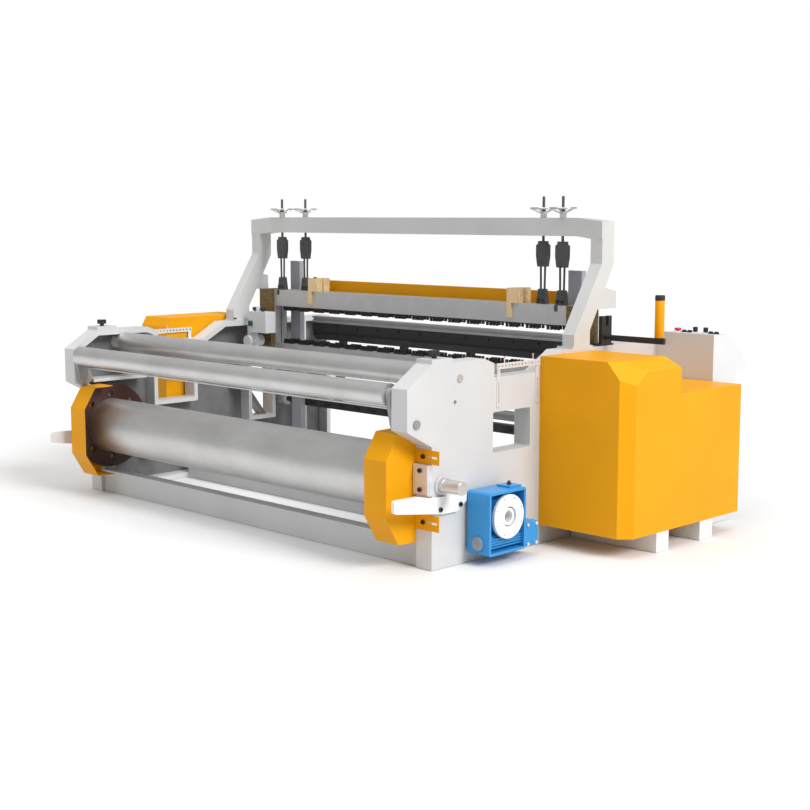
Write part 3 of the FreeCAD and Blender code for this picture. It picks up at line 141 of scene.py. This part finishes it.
# ---- materials -------------------------------------------------------------
def paint(name, colour, gloss=0.36, grime=0.1, peel=0.00006, shine=0.4):
    """Sprayed enamel: slight cloudiness, orange peel, dust low down and faint rubbed spots."""
    g = Graph(name)
    cloud = g.ramp(g.noise(2.2), (0.3, shade(colour, 0.93)), (0.7, shade(colour, 1.03)))
    speck = g.ramp(g.noise(160.0, detail=2.0), (0.66, 0.0), (0.8, 1.0))
    worn = g.mix(g.math("MULTIPLY", speck, 0.10), cloud, shade(colour, 0.72))
    low = g.ramp(g.axis("Z"), (0.0, 1.0), (0.28, 0.0))
    dusty = g.math("MULTIPLY", g.math("MULTIPLY", low, g.noise(7.0)), grime * 2)
    base = g.mix(dusty, worn, shade(colour, 0.6))
    rough = g.ramp(g.noise(14.0), (0.25, gloss - 0.06), (0.8, gloss + 0.1))
    g.bump(g.noise(420.0, detail=1.0), peel)
    return g.finish(base, rough, Metallic=0.0, Specular_IOR_Level=shine)


def shaded_recess_paint(name):
    """Frame enamel with painted shade: dark grey where it faces sideways inside the C-section
    frames.
    """
    g = Graph(name)
    across = g.math("ABSOLUTE", g.math("SUBTRACT", g.axis("X"), MID_X))
    web = g.math("LESS_THAN", across, FRAME_HALF - SKIN_INSIDE)
    rim = g.math("GREATER_THAN", across, FRAME_HALF - RIM_INSIDE)
    normal = g.add("ShaderNodeNewGeometry").outputs["Normal"]
    facing = g.add("ShaderNodeSeparateXYZ", Vector=normal)
    sideways = g.math("GREATER_THAN", g.math("ABSOLUTE", facing.outputs["X"]), 0.7)
    inside = g.math("MULTIPLY", g.math("MULTIPLY", web, rim), sideways)
    cloud = g.ramp(g.noise(2.2), (0.3, 0.50), (0.7, 0.56))
    # painted shade: a dark grey for the sideways faces inside the C-section, where the frame lies
    # in shade
    painted_shade_grey = g.ramp(g.noise(6.0), (0.3, 0.10), (0.7, 0.16))
    g.bump(g.noise(420.0, detail=1.0), 0.00006)
    rough = g.ramp(g.noise(14.0), (0.25, 0.32), (0.8, 0.5))
    return g.finish(g.mix(inside, cloud, painted_shade_grey), rough, Metallic=0.0)


def turned_steel(name, colour, rough=0.42):
    """Shaft or roller turned about X: fine rings along its length and soft stains."""
    g = Graph(name)
    rings = g.noise(1.0, stretch=(900.0, 2.0, 2.0), detail=3.0)
    stain = g.noise(3.0, stretch=(1.0, 2.0, 2.0))
    stained = g.ramp(stain, (0.35, 0.0), (0.75, 1.0))
    base = g.mix(stained, shade(colour, 1.05), shade(colour, 0.86))
    base = g.mix(g.math("MULTIPLY", rings, 0.25), base, shade(colour, 0.8))
    roughness = g.ramp(rings, (0.2, rough - 0.05), (0.8, rough + 0.12))
    g.bump(rings, 0.00004)
    return g.finish(base, roughness, Metallic=1.0)


def plain_metal(name, colour, rough, metallic=1.0):
    """Machined or plated metal with fine scratches and slight stains."""
    g = Graph(name)
    fine = g.noise(240.0, stretch=(1.0, 0.12, 1.0), detail=3.0)
    stain = g.noise(12.0)
    base = g.mix(stain, shade(colour, 0.85), shade(colour, 1.08))
    g.bump(fine, 0.00005)
    roughness = g.ramp(fine, (0.2, rough - 0.07), (0.85, rough + 0.15))
    return g.finish(base, roughness, Metallic=metallic)


def cast_metal(name, colour, rough=0.6):
    """Sand-cast surface under a thin coat."""
    g = Graph(name)
    lumps = g.noise(300.0, detail=5.0)
    base = g.mix(g.noise(20.0), shade(colour, 0.75), shade(colour, 1.25))
    g.bump(lumps, 0.0003)
    roughness = g.ramp(lumps, (0.2, rough - 0.12), (0.8, rough + 0.12))
    return g.finish(base, roughness, Metallic=0.35)


def moulded(name, colour, rough=0.45):
    """Moulded plastic with a fine texture."""
    g = Graph(name)
    grain = g.noise(900.0, detail=2.0)
    base = g.mix(g.noise(25.0), shade(colour, 0.85), shade(colour, 1.15))
    g.bump(grain, 0.00008)
    roughness = g.ramp(g.noise(40.0), (0.2, rough - 0.07), (0.8, rough + 0.1))
    return g.finish(base, roughness, Metallic=0.0)


def timber(name):
    """Pale bare hardwood, grain along Z."""
    g = Graph(name)
    warp = g.noise(8.0, stretch=(1, 1, 0.25), detail=3.0)
    wave = g.add("ShaderNodeTexWave", Vector=g.place, Scale=38.0, Distortion=5.0, Detail=3.0)
    wave.bands_direction = "X"
    lines = g.noise(60.0, stretch=(4, 4, 0.12), detail=5.0)
    figure = g.mix(0.5, wave.outputs[0], lines)
    tone = g.ramp(figure, (0.25, (0.62, 0.42, 0.20)), (0.7, (0.86, 0.66, 0.38)))
    base = g.mix(g.math("MULTIPLY", warp, 0.4), tone, (0.74, 0.55, 0.30))
    g.bump(lines, 0.0002)
    return g.finish(base, g.ramp(lines, (0.3, 0.5), (0.8, 0.68)))


def dimpled_plate(name):
    """Brown guide plate worn into a net of dimples."""
    g = Graph(name)
    cells = g.add("ShaderNodeTexVoronoi", Vector=g.place, Scale=70.0)
    cells.feature = "DISTANCE_TO_EDGE"
    edge = g.ramp(cells.outputs["Distance"], (0.02, 0.0), (0.16, 1.0))
    base = g.mix(edge, (0.07, 0.042, 0.014), (0.26, 0.165, 0.05))
    base = g.mix(g.math("MULTIPLY", g.noise(9.0), 0.5), base, (0.15, 0.10, 0.04))
    g.bump(edge, 0.0012)
    return g.finish(base, g.ramp(edge, (0.1, 0.6), (0.9, 0.42)), Metallic=0.3)


MATERIALS = {
    "frame_paint": paint("frame_enamel", (0.55, 0.56, 0.555)),
    "white_paint": paint("white_enamel", (0.74, 0.74, 0.73), gloss=0.32),
    "yellow_paint": paint("yellow_powder", (0.72, 0.315, 0.003), gloss=0.42, grime=0.06,
                          peel=0.0001, shine=0.14),
    "blue_paint": paint("blue_enamel", (0.028, 0.25, 0.56), gloss=0.3, grime=0.04),
    "flange_paint": paint("red_primer", (0.045, 0.013, 0.009), gloss=0.5),
    "dark_paint": paint("dark_enamel", (0.035, 0.035, 0.04), gloss=0.45),
    "post_paint": paint("grey_enamel", (0.33, 0.33, 0.365), gloss=0.42),
    "cabinet_paint": paint("cabinet_powder", (0.62, 0.63, 0.64), gloss=0.5, peel=0.00018),
    "column_brown": dimpled_plate("column_plate"),
    "lifter_grey": cast_metal("lifter_casting", (0.075, 0.075, 0.075)),
    "roller_steel": turned_steel("roller_turned", (0.66, 0.655, 0.65)),
    "gear_steel": plain_metal("gear_machined", (0.35, 0.35, 0.36), 0.4),
    "flange_steel": plain_metal("flange_bright", (0.86, 0.87, 0.88), 0.42, metallic=0.25),
    "cap_steel": plain_metal("cap_ground", (0.66, 0.66, 0.68), 0.4, metallic=0.5),
    "arm_steel": cast_metal("arm_casting", (0.28, 0.29, 0.30), 0.5),
    "zinc_steel": plain_metal("zinc_plate", (0.74, 0.74, 0.75), 0.42, metallic=0.4),
    "black_steel": moulded("black_oxide", (0.012, 0.012, 0.013), 0.38),
    "wheel_chrome": plain_metal("wheel_plated", (0.62, 0.62, 0.62), 0.22),
    "alloy": plain_metal("alloy_satin", (0.52, 0.52, 0.53), 0.42, metallic=0.55),
    "black_plastic": moulded("black_moulded", (0.012, 0.012, 0.012)),
    "red_plastic": moulded("red_moulded", (0.60, 0.012, 0.01), 0.25),
    "wood": timber("guide_wood"),
}
# side frames: enamel with painted shade on the faces inside their C-sections
INNER_PAINTED_SHADE = shaded_recess_paint("frame_enamel_painted_shade")
GREEN_PLASTIC = moulded("green_moulded", (0.006, 0.075, 0.03), 0.4)
PIN_TIP = moulded("pink_tip", (0.72, 0.26, 0.20), 0.4)


def dress_nodes():
    """Give every CAD node the material of its slot, and the side frames their enamel with painted
    shade inside.
    """
    for part in frame["record"]["subparts"]:
        name = part["node"]
        material = INNER_PAINTED_SHADE if name in OPEN_FRAMES else MATERIALS[part["material_slot"]]
        NODES[name].data.materials.clear()
        NODES[name].data.materials.append(material)


# ---- meshes ----------------------------------------------------------------
UP = (0, 0, 1)
FORWARD = (0, -1, 0)                     # out of the faces that look along -Y
SIDEWAYS = (1, 0, 0)
HEXAGON = 6                              # steps of a lathe that makes a hexagon
POLE = 1e-6                              # a smaller radius closes a turned shape


def piece(name, build, body, slot, material=None):
    """New object from a bmesh filled by build, riding on a body."""
    mesh = bpy.data.meshes.new(name)
    bm = bmesh.new()
    build(bm)
    bmesh.ops.recalc_face_normals(bm, faces=bm.faces)
    bm.to_mesh(mesh)
    bm.free()
    thing = bpy.data.objects.new(name, mesh)
    bpy.context.scene.collection.objects.link(thing)
    mesh.materials.append(material or MATERIALS[slot])
    for face in mesh.polygons:
        face.use_smooth = True
    mesh.set_sharp_from_angle(angle=math.radians(35))
    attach(thing, body)
    return thing


def turn_to(axis):
    """Rotation that takes Z to axis."""
    return Vector(UP).rotation_difference(Vector(axis)).to_matrix().to_4x4()


def lathe(bm, profile, centre, axis, steps):
    """Surface of revolution: profile is (radius, height) from one pole or rim to the other."""
    place = Matrix.Translation(centre) @ turn_to(axis)
    turns = [2 * math.pi * k / steps for k in range(steps)]
    rings = []
    for radius, height in profile:
        points = [(radius * math.cos(a), radius * math.sin(a), height) for a in turns]
        if radius < POLE:
            points = [(0, 0, height)]
        rings.append([bm.verts.new(place @ Vector(point)) for point in points])
    for low, high in zip(rings, rings[1:]):
        for k in range(steps):
            nxt = (k + 1) % steps
            if len(low) == 1:
                bm.faces.new((low[0], high[k], high[nxt]))
            elif len(high) == 1:
                bm.faces.new((low[k], low[nxt], high[0]))
            else:
                bm.faces.new((low[k], low[nxt], high[nxt], high[k]))


def turned(name, profile, places, axis, steps, node, slot, material=None):
    """One piece on node's body, with the same turned shape at every place."""
    def build(bm):
        for place in places:
            lathe(bm, profile, place, axis, steps)
    return piece(name, build, BODY[node], slot, material)


def socket_screws(name, places, axis, radius, head, node, slot):
    """Screw heads with a rounded rim and a socket."""
    rim, socket, floor = radius * 0.86, radius * 0.5, head * 0.4
    profile = [(0, 0), (radius, 0), (radius, head * 0.75), (rim, head),
               (socket, head), (socket, floor), (0, floor)]
    return turned(name, profile, places, axis, 20, node, slot)


def hexagon_bolts(name, places, axis, radius, head, node, slot):
    """Hexagon heads with a chamfered top."""
    profile = [(0, 0), (radius, 0), (radius, head * 0.8), (radius * 0.84, head), (0, head)]
    return turned(name, profile, places, axis, HEXAGON, node, slot)


def block(bm, low, high, soften):
    """Box with bevelled edges."""
    low, high = Vector(low), Vector(high)
    made = bmesh.ops.create_cube(bm, size=1.0)
    for vert in made["verts"]:
        vert.co = Vector([low[i] + (vert.co[i] + 0.5) * (high[i] - low[i]) for i in range(3)])
    edges = list({e for v in made["verts"] for e in v.link_edges})
    bmesh.ops.bevel(bm, geom=edges, offset=soften, segments=2, affect="EDGES", profile=0.5)


# ---- fitted details --------------------------------------------------------
def middle(node):
    """Centre of a CAD node's box."""
    low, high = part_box(node)
    return (low + high) / 2


def gearbox_details():
    """Bolts of the gearbox stage, a seal on the worm's end and a breather on the crown."""
    low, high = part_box("gearbox_housing")
    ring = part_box("gearbox_flange")
    stage_face = high.x - 0.0165
    stage = [Vector((stage_face, high.y + along, low.z + up))
             for along in (-0.082, -0.014) for up in (0.031, 0.132)]
    hexagon_bolts("stage_bolts", stage, SIDEWAYS, 0.009, 0.007, "gearbox_housing", "zinc_steel")
    worm_x = (low.x + high.x) / 2 + 0.0095
    worm_end = Vector((worm_x, low.y, low.z + 0.0755))
    seal = [(0, 0), (0.036, 0), (0.036, 0.003), (0.033, 0.005), (0.022, 0.005),
            (0.02, 0.003), (0, 0.003)]
    turned("worm_seal", seal, [worm_end], FORWARD, 48, "gearbox_housing", "arm_steel")
    crown = Vector((worm_x, (ring[0].y + ring[1].y) / 2 + 0.085, high.z))
    breather = [(0, 0), (0.013, 0), (0.013, 0.006), (0.009, 0.008), (0.009, 0.016),
                (0.007, 0.019), (0, 0.019)]
    turned("breather", breather, [crown], UP, HEXAGON, "gearbox_housing", "black_plastic")


def handle_grip():
    """Yellow tube and black cap over the upright of the starting bar."""
    low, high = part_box("start_handle")
    x = high.x - 0.036
    y = (low.y + high.y) / 2
    tube_foot = Vector((x, y, high.z - 0.2305))
    cap_foot = Vector((x, y, high.z - 0.0265))
    tube = [(0.0251, 0), (0.0262, 0.002), (0.0262, 0.202), (0.0251, 0.204)]
    cap = [(0.0251, 0), (0.0272, 0.001), (0.0272, 0.024), (0.024, 0.0285), (0, 0.0290)]
    turned("grip_tube", tube, [tube_foot], UP, 40, "start_handle", "yellow_paint")
    turned("grip_cap", cap, [cap_foot], UP, 40, "start_handle", "black_plastic")


def pin_tips():
    """Pink tips over the ends of the three bar pins."""
    low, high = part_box("bar_pins")
    pin = 0.0025                         # radius of a pin
    foot = high.z - 0.01
    places = [Vector((high.x - pin, low.y + pin, foot)),
              Vector((high.x - pin, high.y - pin, foot)),
              Vector((low.x + pin, low.y + 0.0925, foot))]
    tip = [(0.0026, 0), (0.0046, 0.001), (0.0046, 0.0085), (0.003, 0.0102), (0, 0.0106)]
    turned("pin_tips", tip, places, UP, 16, "bar_pins", "red_plastic", PIN_TIP)


def lifter_details():
    """Nuts over the handwheels and bolts in the heald clamps."""
    nut = [(0.0081, 0), (0.015, 0), (0.015, 0.009), (0.0125, 0.011), (0.0081, 0.011)]
    for k in range(1, 5):
        wheel = "handwheel_%d" % k
        hub = middle(wheel)
        hub_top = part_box(wheel)[0].z + 0.0361
        turned("wheel_nut_%d" % k, nut, [Vector((hub.x, hub.y, hub_top))], UP, HEXAGON, wheel,
               "black_steel")
    clamp_inset = 0.0365                 # clamp's middle from the end of the straps
    clamp_depth = 0.034
    for name in ("front", "rear"):
        straps = "lifter_straps_" + name
        low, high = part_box(straps)
        half = (high.x - low.x) / 2 - clamp_inset
        y = (low.y + high.y) / 2 - clamp_depth / 2 if name == "rear" else low.y + 0.005
        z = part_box("heald_frame_" + name)[1].z + 0.022
        bolts = [Vector((MID_X + side * half + dx, y, z))
                 for side in (-1, 1) for dx in (-0.018, 0.018)]
        socket_screws("clamp_bolts_" + name, bolts, FORWARD, 0.0085, 0.007, straps, "black_steel")


def sley_details():
    """Dark bolts along the beater plate and plates along the rocker shaft."""
    low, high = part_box("sley_beam")
    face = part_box("reed_holder")[0].y
    bolts, end = 12, 0.06
    span = (high.x - low.x) - 2 * end
    row = [Vector((low.x + end + span * k / (bolts - 1), face, high.z - 0.024))
           for k in range(bolts)]
    hexagon_bolts("sley_bolts", row, FORWARD, 0.009, 0.006, "sley_beam", "black_steel")
    low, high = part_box("rocker_shaft")
    shaft_face = (low.y + high.y) / 2 - 0.027
    plates, first = 18, 0.25
    half_length, height_inset = 0.035, 0.017
    run = high.x - low.x - 2 * first

    def build(bm):
        for k in range(plates):
            x = low.x + first + run * k / (plates - 1)
            block(bm, (x - half_length, shaft_face - 0.004, low.z + height_inset),
                  (x + half_length, shaft_face + 0.001, high.z - height_inset), 0.0015)
    piece("rocker_plates", build, BODY["rocker_shaft"], "black_steel")


def panel_details():
    """Collars round the press buttons and a row of low round buttons beside them."""
    low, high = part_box("control_cabinet")
    row_y = middle("push_button_1").y
    fall = 0.0316                        # of the cabinet's top, per metre towards the back
    row_z = high.z - fall * (row_y - low.y)
    out = Vector((0, fall, 1)).normalized()
    collar = [(0.0185, 0), (0.0235, 0), (0.0235, 0.003), (0.021, 0.005), (0.0185, 0.005)]
    wider = {"emergency_button": 0.0035, "push_button_1": 0, "push_button_2": 0}

    def collars(bm):
        for node, more in wider.items():
            profile = [(radius + more, height) for radius, height in collar]
            lathe(bm, profile, Vector((middle(node).x, row_y, row_z)), out, 32)
    piece("button_collars", collars, BODY["control_cabinet"], "zinc_steel")
    button = [(0, 0), (0.0165, 0), (0.0165, 0.007), (0.0125, 0.009), (0.0125, 0.013),
              (0.011, 0.0145), (0, 0.0145)]
    places = [Vector((low.x + dx, row_y, row_z)) for dx in (0.145, 0.182, 0.325, 0.362)]
    turned("low_buttons", button, places, out, 28, "control_cabinet", "black_plastic")


def selvedge_details():
    """Two knobs on the selvedge unit and the green switch on its front."""
    low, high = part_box("selvedge_unit")
    top = high.z - 0.032                 # top of the housing, under the CAD knob
    knob = [(0, 0), (0.011, 0), (0.011, 0.006), (0.019, 0.008), (0.02, 0.024),
            (0.016, 0.029), (0, 0.029)]
    places = [Vector((low.x + dx, (low.y + high.y) / 2, top)) for dx in (0.08, 0.16)]
    turned("selvedge_knobs", knob, places, UP, 24, "selvedge_unit", "black_plastic")
    corner = (low.x + 0.06, low.y - 0.002, top - 0.10)
    opposite = (low.x + 0.095, low.y + 0.02, top - 0.065)
    piece("selvedge_switch", lambda bm: block(bm, corner, opposite, 0.004),
          BODY["selvedge_unit"], "black_plastic", GREEN_PLASTIC)


def wood_bolt():
    """One bolt in the top of the front wood guide."""
    low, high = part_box("wood_guides_front")
    head = Vector((low.x + 0.043, (low.y + high.y) / 2, high.z))
    hexagon_bolts("wood_bolt", [head], UP, 0.012, 0.008, "wood_guides_front", "black_steel")


dress_nodes()
gearbox_details()
handle_grip()
pin_tips()
lifter_details()
sley_details()
panel_details()
selvedge_details()
wood_bolt()


# ---- studio ----------------------------------------------------------------
WORLD_LIGHT = 0.46                       # what the world gives the loom
WORLD_SEEN = 1.0                         # what the camera sees of it
SUNS = (                                 # name, towards, strength, softness in degrees
    ("key", (0.80, 0.04, 0.60), 2.8, 24),
    ("top", (0.05, -0.1, 1.0), 1.3, 60),
    ("front", (0.10, -0.70, 0.85), 0.55, 40),
)


def studio():
    """Pale floor, soft world light and three wide soft lamps far off."""
    g = Graph("studio_floor")
    tone = g.ramp(g.noise(0.7), (0.3, 0.70), (0.7, 0.73))
    floor_material = g.finish(tone, g.ramp(g.noise(3.0), (0.2, 0.62), (0.8, 0.72)))
    bpy.ops.mesh.primitive_plane_add(size=120.0, location=(0, 0, -0.002))
    floor = bpy.context.object
    floor.name = "studio_floor"
    floor.data.materials.append(floor_material)
    world = bpy.data.worlds.new("studio")
    bpy.context.scene.world = world
    world.use_nodes = True
    nodes = world.node_tree.nodes
    seen = nodes.new("ShaderNodeLightPath")
    power = nodes.new("ShaderNodeMapRange")
    power.inputs["To Min"].default_value = WORLD_LIGHT
    power.inputs["To Max"].default_value = WORLD_SEEN
    world.node_tree.links.new(seen.outputs["Is Camera Ray"], power.inputs["Value"])
    world.node_tree.links.new(power.outputs[0], nodes["Background"].inputs["Strength"])
    nodes["Background"].inputs["Color"].default_value = (1, 1, 1, 1)
    for name, towards, strength, softness in SUNS:
        data = bpy.data.lights.new(name, "SUN")
        data.energy = strength
        data.angle = math.radians(softness)
        lamp = bpy.data.objects.new(name, data)
        lamp.rotation_euler = Vector(towards).to_track_quat("Z", "Y").to_euler()
        bpy.context.scene.collection.objects.link(lamp)
    bpy.context.scene.view_settings.view_transform = "Standard"


def camera():
    """The photograph's viewing angle."""
    data = bpy.data.cameras.new("view")
    data.lens = LENS
    data.sensor_width = 36.0
    data.clip_end = 200.0
    cam = bpy.data.objects.new("view", data)
    cam.location = EYE
    cam.rotation_euler = Euler((math.radians(90 - EYE_DOWN), 0, math.radians(EYE_YAW)))
    bpy.context.scene.collection.objects.link(cam)
    bpy.context.scene.camera = cam


studio()
camera()
